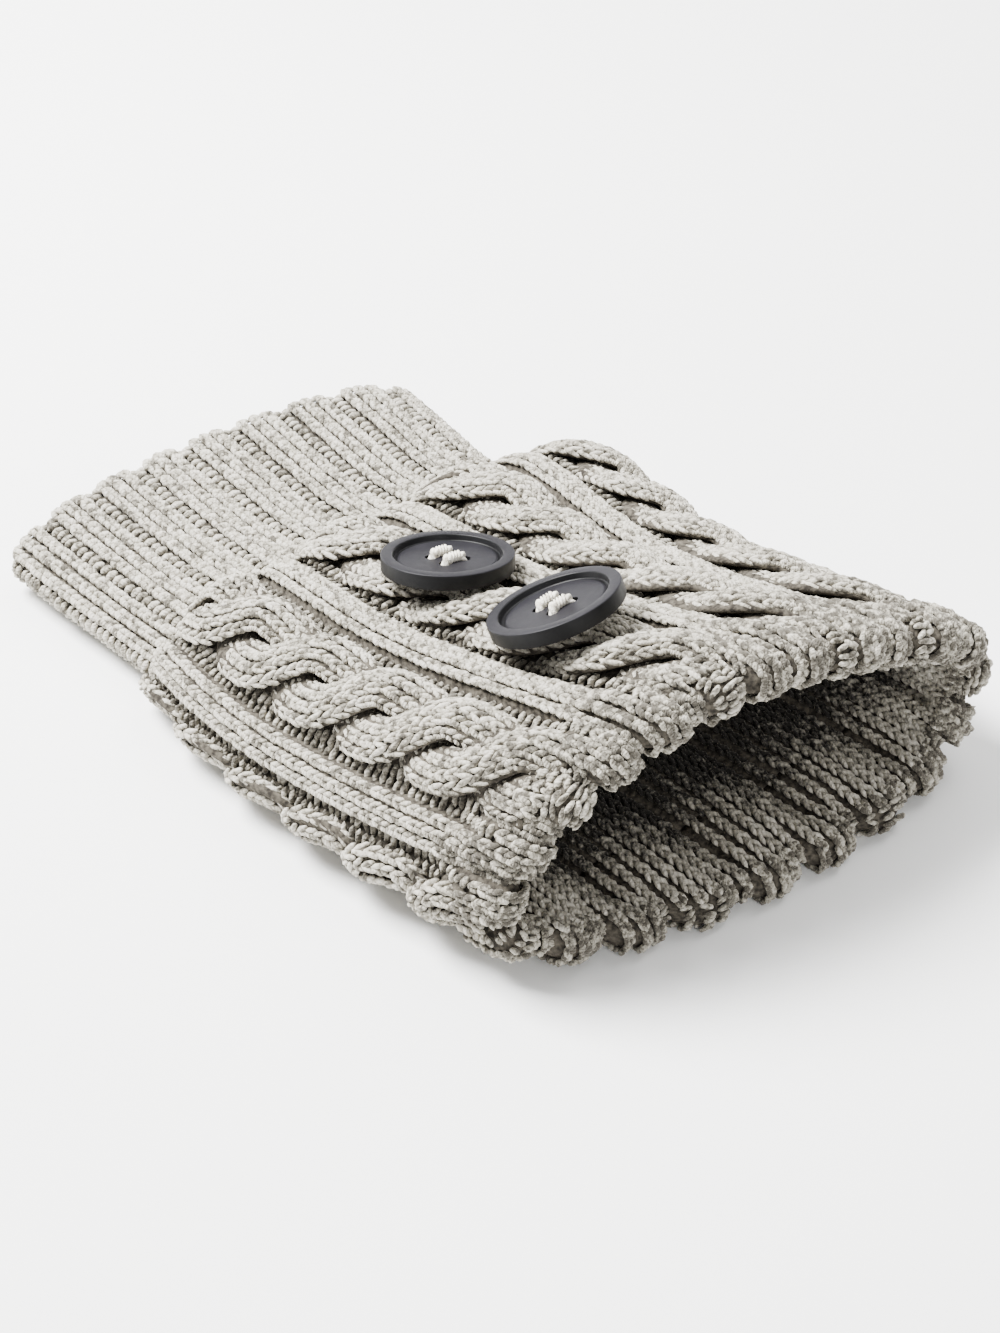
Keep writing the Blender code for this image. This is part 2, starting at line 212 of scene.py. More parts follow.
class LaidTube:
    """The mean surface of the laid cuff, looked up by share of the round and by length."""

    def __init__(self):
        loops = []
        ends = []
        for sections, count in LENGTHS:
            loops += [outline(section_at(sections, i / (count - 1))) for i in range(count)]
            ends.append(len(loops) - 1)
        self.base = np.array(loops)
        step = np.linalg.norm(np.diff(self.base, axis=0), axis=2).mean(axis=1)
        self.length = np.concatenate([[0.0], np.cumsum(step)])
        self.seam, self.border, self.end = (self.length[i] for i in ends)
        around = np.roll(self.base, -3, axis=1) - np.roll(self.base, 3, axis=1)
        down = np.gradient(self.base, axis=0)
        self.down = unit(down)
        self.out = unit(np.cross(down, around))
        circle = np.linalg.norm(np.roll(self.base, -1, axis=1) - self.base, axis=2)
        self.round = circle.sum(axis=1)

    def look_up(self, grid, turn, length):
        """Values of a grid of rings at shares of the round and lengths from the free edge."""
        place = np.interp(length, self.length, np.arange(len(self.length)))
        i = np.minimum(place.astype(int), len(self.length) - 2)
        down = (place - i)[..., None]
        spot = (turn % 1.0) * ROUND_POINTS
        j = spot.astype(int) % ROUND_POINTS
        k = (j + 1) % ROUND_POINTS
        across = (spot - np.floor(spot))[..., None]
        near = (1.0 - across) * grid[i, j] + across * grid[i, k]
        far = (1.0 - across) * grid[i + 1, j] + across * grid[i + 1, k]
        return (1.0 - down) * near + down * far

    def perimeter(self, length):
        """The round of the tube at these lengths."""
        return np.interp(length, self.length, self.round)

    def at(self, turn, length, height):
        """Points this high over the mean surface, with the cloth under the buttons pressed
        down, and the way that the surface faces there."""
        turn, length, height = np.broadcast_arrays(turn, length, height)
        inside = np.clip(length, 0.0, self.end)
        # The columns lean over the right shoulder, from 3% of the round before the middle of
        # the upper layer to 68% past it, and more towards the hem.
        share = (turn + 0.2) % 1.0 - 0.2
        bend = smooth((share + 0.03) / 0.3) * smooth((0.68 - share) / 0.34)
        turn = turn - SLANT * bend * np.clip((length - 75.0) / 50.0, -0.3, 1.2)
        base = self.look_up(self.base, turn, inside)
        out = unit(self.look_up(self.out, turn, inside))
        down = self.look_up(self.down, turn, inside)
        past = (length - inside)[..., None]
        scallop = LIP_SCALLOP * lobe(share) * smooth((length - self.end + 9.0) / 9.0)
        scallop -= SCALLOP * (round_top(share * RIBS_AROUND) - 0.6) * smooth(1.0 - length / 9.0)
        point = base + down * (past + scallop[..., None]) + out * height[..., None]
        upper = base[..., 2] > 0.5 * BODY_SECTIONS[1].top
        for spot in BUTTONS:
            away = np.hypot(base[..., 0] - spot.x, base[..., 1] - spot.y)
            pulled = PRESS * smooth(1.0 - away / PRESS_REACH)
            point[..., 2] -= np.where(upper, pulled, 0.0)
            x = point[..., 0] - spot.x
            y = point[..., 1] - spot.y
            under = smooth((BUTTON_RADIUS + 3.0 - np.hypot(x, y)) / 2.5)
            limit = SEATS[spot.name] + x * spot.slope_x + y * spot.slope_y - BUTTON_CLEAR
            over = np.maximum(point[..., 2] - limit, 0.0)
            point[..., 2] -= np.where(upper, under * over, 0.0)
        point[..., 2] = np.maximum(point[..., 2], STITCH_LIFT)
        return point, out


def facing(spot):
    """The way that a button faces."""
    return Vector((-spot.slope_x, -spot.slope_y, 1.0)).normalized()


def seat_height(spot):
    """Height of the middle of the button's underside, from its solid in the frame."""
    low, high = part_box(spot.name)
    middle = (low + high) / 2.0 / MM
    foot = middle - facing(spot) * (BUTTON_THICK / 2.0)
    return foot.z + (spot.x - foot.x) * spot.slope_x + (spot.y - foot.y) * spot.slope_y


SEATS = {spot.name: seat_height(spot) for spot in BUTTONS}
TUBE = LaidTube()


def rib_profile(turn):
    """1 on a knit rib of the band and 0 in a purl trough."""
    return smooth((np.cos(TURN * RIBS_AROUND * turn) + 0.85) / 0.8)


def repeat_of(turn):
    """Place in the pattern repeat: 0 in the middle of a cable, a half in a plain rib."""
    return np.abs(((turn - CABLE_TURN) * CABLES_AROUND + 0.5) % 1.0 - 0.5)


def band_height(turn):
    """Height of the band's face over the mean surface."""
    return RIB_RELIEF * (rib_profile(turn) - 0.5)


def body_height(turn):
    """Height of the body's ground over the mean surface: plain ribs stand over troughs."""
    repeat = repeat_of(turn)
    plain = smooth((repeat - 0.345) / 0.06)
    cable = smooth((0.3 - repeat) / 0.05)
    crown = smooth((repeat - 0.41) / 0.05)
    return -1.7 + 2.2 * plain + 0.5 * crown + 1.5 * cable


def round_top(place, share=0.93):
    """A round hump for every whole step of place, with its top on whole numbers: 1 on the
    top and lower in the narrow dips between."""
    away = 2.0 * np.abs((place + 0.5) % 1.0 - 0.5)
    return np.sqrt(1.0 - share * away**2)


def lobe(turn):
    """Lobes of the hem's lip, a little over zero on a lobe and below it in a dip."""
    repeat = (turn - CABLE_TURN) * CABLES_AROUND
    return round_top((repeat - LOBE_SHARE) * LOBES_AROUND / CABLES_AROUND) - 0.75


def hem_height(turn):
    """Height of the hem's face over the mean surface."""
    return 1.2 + 5.0 * lobe(turn)


def face_height(turn, length):
    """Height of the cloth's face over the mean surface."""
    start = smooth((length - TUBE.seam + 1.0) / 7.0)
    finish = smooth((length - TUBE.border + 3.0) / 12.0)
    mixed = (1.0 - start) * band_height(turn) + start * body_height(turn)
    return (1.0 - finish) * mixed + finish * hem_height(turn)


def back_height(turn, length):
    """Height of the cloth's back over the mean surface: two broad ridges to a repeat."""
    start = smooth((length - TUBE.seam + 1.0) / 12.0)
    ridge = round_top(2.0 * (turn - CABLE_TURN) * CABLES_AROUND)
    body = -1.2 - 5.4 * ridge
    band = INNER_SHARE * band_height(turn) - WALL
    finish = smooth((length - TUBE.end + 9.0) / 9.0)
    lip = 1.0 - LIP_THICK - 2.4 * lobe(turn)
    mixed = (1.0 - start) * band + start * body
    return (1.0 - finish) * mixed + finish * lip


# Meshes


def plain_object(name, points, corners, sizes, finish, uv=None, tint=None):
    """A linked smooth object from arrays, in millimetres; corners lists each face's points.
    Nothing reaches below the floor. Yarn has a UV map of its turn and length, and a tint that
    holds each loop's random tone with any painted shade added."""
    points[:, 2] = np.maximum(points[:, 2], FLOOR_GAP)
    mesh = bpy.data.meshes.new(name)
    mesh.vertices.add(len(points))
    mesh.vertices.foreach_set("co", (points * MM).astype(np.float32).ravel())
    mesh.loops.add(len(corners))
    mesh.polygons.add(len(sizes))
    starts = np.concatenate([[0], np.cumsum(sizes)[:-1]]).astype(np.int32)
    mesh.polygons.foreach_set("loop_start", starts)
    mesh.polygons.foreach_set("vertices", corners.astype(np.int32))
    mesh.polygons.foreach_set("use_smooth", np.ones(len(sizes), bool))
    mesh.update(calc_edges=True)
    if uv is not None:
        layer = mesh.uv_layers.new(name="yarn")
        layer.data.foreach_set("uv", uv[corners].astype(np.float32).ravel())
        values = mesh.attributes.new("tint", "FLOAT", "POINT").data
        values.foreach_set("value", tint.astype(np.float32))
    mesh.materials.append(finish)
    made = bpy.data.objects.new(name, mesh)
    bpy.context.collection.objects.link(made)
    return made


def deselect():
    """Leaves edit mode with nothing selected."""
    if bpy.context.object and bpy.context.object.mode != "OBJECT":
        bpy.ops.object.mode_set(mode="OBJECT")
    bpy.ops.object.select_all(action="DESELECT")


class Loop:
    """One plump loop of yarn, copied for every stitch."""

    def __init__(self, segments, rings, bow, taper):
        deselect()
        bpy.ops.mesh.primitive_uv_sphere_add(segments=segments, ring_count=rings, radius=0.5)
        made = bpy.context.object
        points = np.array([vertex.co for vertex in made.data.vertices])
        points = points[:, [0, 2, 1]]
        along = points[:, 1]
        girth = 1.0 + taper * along
        turn = np.arctan2(points[:, 0], points[:, 2]) / TURN
        points[:, 0] *= girth
        points[:, 2] = points[:, 2] * girth - bow * (2.0 * along) ** 2
        self.points = points
        self.corners = np.concatenate([list(face.vertices)[::-1] for face in made.data.polygons])
        self.sizes = np.array([len(face.vertices) for face in made.data.polygons])
        self.uv = np.stack([turn + 0.5, along + 0.5], axis=1)
        bpy.data.objects.remove(made, do_unlink=True)

    def laid(self, stitches):
        """The points, faces, yarn places and tints of a copy for every stitch; the tints carry
        any painted shade.
        """
        side = unit(np.cross(stitches.along, stitches.up))
        up = unit(np.cross(side, stitches.along))
        along = unit(stitches.along)
        shape = self.points[None]
        points = (
            stitches.centre[:, None]
            + shape[..., 0:1] * side[:, None] * stitches.width[:, None, None]
            + shape[..., 1:2] * along[:, None] * stitches.length[:, None, None]
            + shape[..., 2:3] * up[:, None] * stitches.thick[:, None, None]
        )
        count = len(stitches.centre)
        shift = np.arange(count)[:, None] * len(self.points)
        corners = (self.corners[None] + shift).ravel()
        sizes = np.tile(self.sizes, count)
        uv = np.tile(self.uv, (count, 1))
        tint = np.repeat(stitches.tint, len(self.points))
        return points.reshape(-1, 3), corners, sizes, uv, tint


Stitches = namedtuple("Stitches", "centre along up length width thick tint")


def gathered(groups):
    """Several groups of stitches as one."""
    return Stitches(*[np.concatenate(parts) for parts in zip(*groups)])


def pick(stitches, keep):
    """The stitches that are kept."""
    return Stitches(*[part[keep] for part in stitches])


def laid_flat(centre, way, face, length, width, thick, tint):
    """The stitches of a grid (rows, columns), from their middles, the ways that they run
    and face, their sizes and their tints, which carry any painted shade."""
    vectors = [part.reshape(-1, 3) for part in (centre, way, face)]
    shape = centre.shape[:2]
    numbers = [np.broadcast_to(part, shape).ravel() for part in (length, width, thick, tint)]
    return Stitches(*vectors, *numbers)


def frames(points, up):
    """Directions along a grid of columns (rows, columns) and sideways, and the up made
    square to them."""
    along = unit(np.gradient(points, axis=0))
    side = unit(np.cross(along, up))
    return along, side, unit(np.cross(side, along))


def knit(points, up, rng, gauge, lean=0.36, loose=0.07, shade=0.0):
    """Two legs of a V for every point of the columns (rows, columns, 3). The gauge is the
    width of a column, lean the angle of a leg, and loose how far the legs stray; shade is
    painted shade that darkens their tint."""
    along, side, square = frames(points, up)
    step = np.linalg.norm(np.gradient(points, axis=0), axis=2)
    groups = []
    for hand in (-1.0, 1.0):
        jitter = rng.normal(0.0, loose, points.shape)
        turn = lean + rng.normal(0.0, 0.05, step.shape)
        way = along * np.cos(turn)[..., None] + side * (hand * np.sin(turn))[..., None]
        centre = points + side * (hand * 0.2 * gauge) + jitter
        face = square * math.cos(0.6) + side * (hand * math.sin(0.6))
        sizes = (1.7 * step, 0.46 * gauge, 0.56 * gauge)
        tint = rng.normal(0.0, 1.0, step.shape) + shade
        groups.append(laid_flat(centre, way, face, *sizes, tint))
    return gathered(groups)


def purl(points, up, rng, gauge, loose=0.1, wild=0.12, plump=1.0, shade=0.0):
    """A bar across the column for every point of the columns (rows, columns, 3); wild is
    how much the bars turn askew, and shade is painted shade that darkens their tint."""
    along, side, square = frames(points, up)
    step = np.linalg.norm(np.gradient(points, axis=0), axis=2)
    turn = rng.normal(0.0, wild, step.shape)
    way = side * np.cos(turn)[..., None] + along * np.sin(turn)[..., None]
    centre = points + rng.normal(0.0, loose, points.shape)
    length = 1.4 * gauge * (1.0 + rng.normal(0.0, 0.06, step.shape))
    sizes = (length, 0.72 * step * plump, 0.56 * gauge * plump)
    tint = rng.normal(0.0, 1.0, step.shape) + shade
    return laid_flat(centre, way, square, *sizes, tint)


# Materials


def linear(code):
    """Linear colour, with alpha, of an sRGB hex value."""
    channels = [int(code[i : i + 2], 16) / 255.0 for i in (1, 3, 5)]
    curved = [c / 12.92 if c <= 0.04045 else ((c + 0.055) / 1.055) ** 2.4 for c in channels]
    return [*curved, 1.0]


def add_node(tree, kind, settings=None, values=None, links=None):
    """Adds a node with its settings and input values, fed by the given output sockets."""
    node = tree.nodes.new(kind)
    for name, value in (settings or {}).items():
        setattr(node, name, value)
    for name, value in (values or {}).items():
        node.inputs[name].default_value = value
    for name, socket in (links or {}).items():
        tree.links.new(socket, node.inputs[name])
    return node


def new_material(name, values):
    """An empty Principled material with these constant values; gives it, its tree and its
    shader."""
    made = bpy.data.materials.new(name)
    made.use_nodes = True
    tree = made.node_tree
    shader = tree.nodes["Principled BSDF"]
    for socket, value in values.items():
        shader.inputs[socket].default_value = value
    return made, tree, shader


def ramp(tree, factor, stops):
    """A colour ramp through (place, colour) stops, fed by the factor socket."""
    node = add_node(tree, "ShaderNodeValToRGB", links={"Fac": factor})
    elements = node.color_ramp.elements
    elements[0].position, elements[0].color = stops[0]
    elements[1].position, elements[1].color = stops[-1]
    for place, colour in stops[1:-1]:
        element = elements.new(place)
        element.color = colour
    return node.outputs["Color"]


def finished(made, tree, shader, bump, **sockets):
    """The material, with its bump and the given colours or numbers on the shader."""
    tree.links.new(bump.outputs["Normal"], shader.inputs["Normal"])
    for name, socket in sockets.items():
        tree.links.new(socket, shader.inputs[name.replace("_", " ")])
    return made


def heather_yarn(name, light, mid, dark, flecks=1.0, stops=(0.35, 0.47, 0.61)):
    """Acrylic and wool heather yarn, plied and matt: pale loops with darker fibres mixed
    through, each loop a little lighter or darker than the next and darker still where it
    carries painted shade, and a soft ply twist."""
    made, tree, shader = new_material(
        name,
        {
            "Roughness": 0.94,
            "IOR": 1.45,
            "Specular IOR Level": 0.25,
            "Sheen Weight": 0.25,
            "Sheen Roughness": 0.5,
            "Sheen Tint": linear("#E9E4D8"),
        },
    )
    place = add_node(tree, "ShaderNodeTexCoord").outputs["Object"]
    # Fibre clumps of about 1.4 mm and finer flecks of about 0.5 mm.
    grain = {"Scale": 700.0, "Detail": 3.0, "Roughness": 0.6}
    clumps = add_node(tree, "ShaderNodeTexNoise", None, grain, {"Vector": place})
    # Each loop's tint holds its random tone and any painted shade given to its stitches.
    tint = add_node(tree, "ShaderNodeAttribute", {"attribute_name": "tint"}).outputs["Fac"]
    sum_up = {"operation": "MULTIPLY_ADD"}
    feeds = {0: tint, 2: clumps.outputs["Fac"]}
    shade = add_node(tree, "ShaderNodeMath", sum_up, {1: 0.045 * flecks}, feeds).outputs["Value"]
    colour = ramp(tree, shade, list(zip(stops, (dark, mid, light))))
    # The plies wind slantwise around each loop.
    yarn = add_node(tree, "ShaderNodeUVMap", {"uv_map": "yarn"}).outputs["UV"]
    wind = {"Scale": (1.0, 2.2, 1.0), "Rotation": (0.0, 0.0, 0.75)}
    slant = add_node(tree, "ShaderNodeMapping", None, wind, {"Vector": yarn}).outputs["Vector"]
    ply = add_node(
        tree,
        "ShaderNodeTexWave",
        {"wave_type": "BANDS", "bands_direction": "X"},
        {"Scale": 1.0, "Distortion": 1.2, "Detail": 2.0, "Detail Scale": 2.0},
        {"Vector": slant},
    )
    fine = {"Scale": 2600.0, "Detail": 2.0}
    fibres = add_node(tree, "ShaderNodeTexNoise", None, fine, {"Vector": place})
    feeds = {0: ply.outputs["Fac"], 2: fibres.outputs["Fac"]}
    height = add_node(tree, "ShaderNodeMath", sum_up, {1: 0.6}, feeds).outputs["Value"]
    relief = {"Strength": 0.5, "Distance": 0.0004}
    bump = add_node(tree, "ShaderNodeBump", None, relief, {"Height": height})
    return finished(made, tree, shader, bump, Base_Color=colour)


def ground_knit(name, light, dark):
    """The cloth behind the stitches, painted dark as painted shade between the loops: the
    same yarn, dark and rough."""
    made, tree, shader = new_material(name, {"Roughness": 1.0, "Specular IOR Level": 0.1})
    place = add_node(tree, "ShaderNodeTexCoord").outputs["Object"]
    grain = {"Scale": 900.0, "Detail": 3.0}
    noise = add_node(tree, "ShaderNodeTexNoise", None, grain, {"Vector": place}).outputs["Fac"]
    colour = ramp(tree, noise, [(0.35, dark), (0.65, light)])
    relief = {"Strength": 0.6, "Distance": 0.0006}
    bump = add_node(tree, "ShaderNodeBump", None, relief, {"Height": noise})
    return finished(made, tree, shader, bump, Base_Color=colour)


def moulded_plastic(name, light, dark):
    """Compression-moulded polyester button, tumbled satin: charcoal with a faint cloudy
    mottle and a soft sheen on the dished face."""
    made, tree, shader = new_material(name, {"IOR": 1.5, "Specular IOR Level": 0.2})
    place = add_node(tree, "ShaderNodeTexCoord").outputs["Object"]
    # Clouds of about 4 mm, and a grain of about 0.25 mm.
    mottle = {"Scale": 260.0, "Detail": 4.0}
    cloud = add_node(tree, "ShaderNodeTexNoise", None, mottle, {"Vector": place}).outputs["Fac"]
    colour = ramp(tree, cloud, [(0.3, dark), (0.7, light)])
    fine = {"Scale": 4000.0, "Detail": 2.0}
    grain = add_node(tree, "ShaderNodeTexNoise", None, fine, {"Vector": place}).outputs["Fac"]
    relief = {"Strength": 0.15, "Distance": 0.0001}
    bump = add_node(tree, "ShaderNodeBump", None, relief, {"Height": grain})
    spread = {"From Min": 0.3, "From Max": 0.7, "To Min": 0.42, "To Max": 0.56}
    rough = add_node(tree, "ShaderNodeMapRange", None, spread, {"Value": cloud}).outputs["Result"]
    return finished(made, tree, shader, bump, Base_Color=colour, Roughness=rough)


# Settings that a user would change


def length_property(label, what, size):
    """A length setting with its default, which is given in millimetres."""
    return bpy.props.FloatProperty(
        name=label, description=what, default=size * MM, unit="LENGTH"
    )


class CuffCloth(bpy.types.PropertyGroup):
    """Sizes of the knitted cloth."""

    row: length_property("Row height", "Height of one row of stitches", ROW)
    crossing: length_property("Cable pitch", "Distance between crossings of a cable", CABLE_PITCH)
    lift: length_property(
        "Crossing lift", "How much a strand rises where it passes over", CROSS_LIFT
    )


class CuffButtons(bpy.types.PropertyGroup):
    """Sizes of the buttons."""

    rim: length_property("Rim", "Width of the raised rim", 2.4)
    dish: length_property("Dish", "How far the face lies below the rim", 1.3)
    sides: bpy.props.IntProperty(
        name="Sides", description="Facets around a button", default=72, min=12
    )


def colour_property(label, code):
    """A colour setting with its default."""
    return bpy.props.FloatVectorProperty(
        name=label,
        description=f"Colour of the {label}",
        subtype="COLOR",
        size=4,
        min=0.0,
        max=1.0,
        default=linear(code),
    )


class CuffColours(bpy.types.PropertyGroup):
    """Colours of the yarns and the buttons."""

    yarn_light: colour_property("pale fibres", "#BBB6AB")
    yarn_mid: colour_property("middle fibres", "#9B9689")
    yarn_dark: colour_property("dark flecks", "#514D45")
    # The inner face's colours are the yarn's, with painted light near the mouth and painted shade
    # deep inside.
    inner_painted_light: colour_property("inner face's pale fibres", "#C6C1B5")
    inner_painted_mid: colour_property("inner face's middle fibres", "#A19C90")
    inner_painted_shade: colour_property("yarn deep inside", "#1F1D1A")
    # The ground's colours are painted shade: the dark seen between the loops.
    ground_shade_light: colour_property("ground between stitches", "#5A554C")
    ground_shade_dark: colour_property("ground's dark specks", "#2C2925")
    button_top: colour_property("button's face and rim", "#1C1B1F")
    button_mottle: colour_property("button's mottle", "#141317")
    # The face and rim take the plain charcoal; the side and groove colours are the same plastic
    # darkened as painted shade.
    button_shaded_side: colour_property("button's side and groove", "#09090B")
    button_shade: colour_property("button's side mottle", "#050506")
    sewing_light: colour_property("sewing yarn", "#F1EDE2")
    sewing_mid: colour_property("sewing yarn's middle fibres", "#E4DFD2")
    sewing_dark: colour_property("sewing yarn's dark fibres", "#B9B2A4")


# Pieces


def settle(made, slot, *nodes):
    """Fixes a piece to the cuff, in place of the solids it stands for; the slot is not used."""
    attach(made, "root")
    if nodes:
        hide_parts(*nodes)


def body_shares():
    """Middle of each body column as a share of the round, and what it is knitted as."""
    number = np.arange(CABLES_AROUND * len(BODY_KINDS))
    kind = np.array(BODY_KINDS)[number % len(BODY_KINDS)]
    return (number + 0.5) / len(number) + CABLE_TURN, kind


def edge_shares():
    """Five columns to each rib of the band, as shares of the round."""
    return np.arange(5 * RIBS_AROUND) / (5 * RIBS_AROUND)


def rows_between(start, stop, row):
    """Evenly spaced lengths of whole rows."""
    count = max(2, int(round((stop - start) / row)) + 1)
    return np.linspace(start, stop, count)


def columns_at(turn, length, height):
    """Points and outward ways of a grid of columns (rows, columns)."""
    turn, length = np.broadcast_arrays(np.asarray(turn)[None, :], np.asarray(length)[:, None])
    return TUBE.at(turn, length, height(turn, length))


def shell(name, start, stop, finish, rolled=False):
    """A closed thin wall of cloth between two lengths, a little inside both faces."""
    around = 288
    lengths = rows_between(start, stop, SHELL_ROW)
    turn = np.arange(around) / around
    outer, _ = columns_at(turn, lengths, lambda u, w: face_height(u, w) - INSET)
    inner, _ = columns_at(turn, lengths, lambda u, w: back_height(u, w) + INSET)
    lip = []
    if rolled:
        angle = np.linspace(0.3, math.pi - 0.3, 7)
        turns, angles = np.broadcast_arrays(turn[None, :], angle[:, None])
        lip, _ = lip_points(turns, angles, -INSET)
    rings = [*outer, *lip, *inner[::-1]]
    points = np.concatenate(rings)
    count = len(rings)
    i = np.arange(around)
    j = (i + 1) % around
    faces = []
    for ring in range(count):
        near = ring * around
        far = ((ring + 1) % count) * around
        faces.append(np.stack([near + i, far + i, far + j, near + j], axis=1))
    corners = np.concatenate(faces)
    return plain_object(name, points, corners.ravel(), np.full(len(corners), 4), finish)


class CUFF_OT_cloth(bpy.types.Operator):
    """Makes the ground cloth of the band, the body and the hem"""

    bl_idname = "cuff.cloth"
    bl_label = "Ground cloth"

    def execute(self, context):
        colours = context.scene.cuff_colours
        # The ground cloth is painted dark, as painted shade between the stitches.
        ground = ground_knit("shaded_ground_knit", colours.ground_shade_light, colours.ground_shade_dark)
        half = 0.5 * SEAM_GAP
        band = shell("band_cloth", 0.0, TUBE.seam - half, ground)
        body = shell("body_cloth", TUBE.seam + half, TUBE.border - half, ground)
        hem = shell("hem_cloth", TUBE.border + half, TUBE.end, ground, rolled=True)
        settle(band, "oatmeal_yarn", "ribbed_band")
        settle(body, "oatmeal_yarn", "cable_body")
        settle(hem, "oatmeal_yarn", "hem_edge")
        return {"FINISHED"}


def yarn_finish():
    """The cuff's own yarn, made once."""
    found = bpy.data.materials.get("oatmeal_heather_yarn")
    colours = bpy.context.scene.cuff_colours
    return found or heather_yarn(
        "oatmeal_heather_yarn", colours.yarn_light, colours.yarn_mid, colours.yarn_dark
    )


def inner_finish():
    """The same yarn on the cuff's inner face: a copy painted lighter near the mouth as painted
    light, and darker away from it as painted shade.
    """
    colours = bpy.context.scene.cuff_colours
    shades = (colours.inner_painted_light, colours.inner_painted_mid, colours.inner_painted_shade)
    return heather_yarn("shaded_inner_yarn", *shades, stops=(0.12, 0.42, 0.62))


def leg_loop(rings=4):
    """The loop for one leg of a knit stitch, with fewer rings where it is little seen."""
    return Loop(6, rings, 0.22, 0.2)


def bar_loop(rings=4, bow=0.25):
    """The loop for the bar of a purl stitch."""
    return Loop(6, rings, bow, 0.0)


def knitted(name, loop, groups, finish=None):
    """A joined mesh with a loop of yarn for every stitch, which rides on the cuff."""
    points, corners, sizes, uv, tint = loop.laid(gathered(groups))
    made = plain_object(name, points, corners, sizes, finish or yarn_finish(), uv, tint)
    settle(made, "oatmeal_yarn")


class CUFF_OT_ribbed_band(bpy.types.Operator):
    """Knits the ribbed band: three knit columns and a sunk purl column in turn"""

    bl_idname = "cuff.ribbed_band"
    bl_label = "Ribbed band"

    def execute(self, context):
        rng = np.random.default_rng(11)
        row = context.scene.cuff_cloth.row / MM
        rib = np.arange(RIBS_AROUND) / RIBS_AROUND
        column = RIB_COLUMN / TUBE.perimeter(0.5 * TUBE.seam)
        knit_share = (rib[:, None] + column * np.array([-1.0, 0.0, 1.0])).ravel()
        purl_share = rib + 0.5 / RIBS_AROUND
        lengths = rows_between(-0.4, TUBE.seam + 2.0, row)
        points, out = columns_at(knit_share, lengths, lambda u, w: band_height(u) - 0.3)
        ribs = knit(points, out, rng, gauge=RIB_COLUMN, lean=0.32)
        points, out = columns_at(purl_share, lengths, lambda u, w: band_height(u) + 0.6)
        troughs = purl(points, out, rng, gauge=2.3, plump=1.3)
        # Three rows of cast-on bars close the free edge, the middle one standing proud.
        turn = edge_shares()[None, :]
        sunk = np.linspace(0.1, 1.0 - WALL, 3)[:, None]
        curl = np.array([-0.8, -1.3, -0.8])[:, None]
        points, _ = TUBE.at(turn, curl, 0.5 * band_height(turn) + sunk)
        away = np.broadcast_to(np.array([0.0, 1.0, 0.0]), points.shape)
        cast = purl(points, away, rng, gauge=2.3, plump=1.25)
        knitted("band_ribs", leg_loop(), [ribs])
        knitted("band_troughs", bar_loop(bow=0.2), [troughs, cast])
        return {"FINISHED"}


def strand_path(phase, pitch, row, start, stop):
    """Middle of one strand of a cable: distance across, length, angle of its wave and
    which way it heads, spaced evenly by rows."""
    theta = np.linspace(-2.0 * math.pi, 9.0 * math.pi, 3000)
    length = CABLE_START + pitch * (theta + phase) / math.pi
    across = -CABLE_SWING * np.cos(theta - CROSS_SHARP * np.sin(2.0 * theta))
    path = np.stack([across, length], axis=1)
    steps = np.linalg.norm(np.diff(path, axis=0), axis=1)
    run = np.concatenate([[0.0], np.cumsum(steps)])
    even = np.arange(0.0, run[-1], row)
    across, length, theta = (np.interp(even, run, part) for part in (across, length, theta))
    keep = (length > start) & (length < stop)
    across, length, theta = across[keep], length[keep], theta[keep]
    heading = unit(np.stack([np.gradient(across), np.gradient(length)], axis=1))
    return across, length, theta, heading


def strand_points(cloth, number, phase, row, offsets, start, stop, drop=0.0, dive=0.95):
    """Points and outward ways of the columns (rows, columns) of a strand, and how far it
    passes over, from 1 down to -1 where it is under. The offsets are from its middle, drop
    sinks it all, and dive is how far it goes under as a share of how far it goes over."""
    across, length, theta, heading = strand_path(phase, cloth.crossing / MM, row, start, stop)
    lift = cloth.lift / MM * (0.6 if number == FOLDED_CABLE else 1.0)
    offsets = np.asarray(offsets)
    x = across[:, None] + offsets[None] * heading[:, 1:2]
    w = length[:, None] - offsets[None] * heading[:, 0:1]
    turn = CABLE_TURN + number / CABLES_AROUND + x / TUBE.perimeter(w)
    over = np.sin(theta)[:, None]
    share = np.clip(offsets / STRAND_HALF, -0.98, 0.98)
    dome = STRAND_RISE * np.sqrt(1.0 - share**2)[None]
    wave = np.where(over > 0.0, lift * over, dive * lift * over)
    fade_in = smooth((w - TUBE.seam + 2.0) / 5.0)
    fade_out = smooth((TUBE.end + 3.0 - w) / 11.0)
    # The strands sink into the seam at one end and into the hem at the other.
    full = dome * (0.35 + 0.65 * fade_in) * (0.6 + 0.4 * fade_out)
    height = -1.9 + full + wave * fade_in * fade_out - drop
    height = height + (1.0 - fade_out) * hem_height(turn) * 0.6
    points, out = TUBE.at(turn, w, height)
    lean = (0.85 * np.arcsin(share))[None, :, None]
    along = unit(np.gradient(points, axis=0))
    side = unit(np.cross(along, out))
    run = points[:, -1:] - points[:, :1]
    hand = np.sign((run * side).sum(axis=2, keepdims=True))
    up = out * np.cos(lean) + side * np.sin(lean) * hand
    return points, up, np.broadcast_to(over, w.shape)


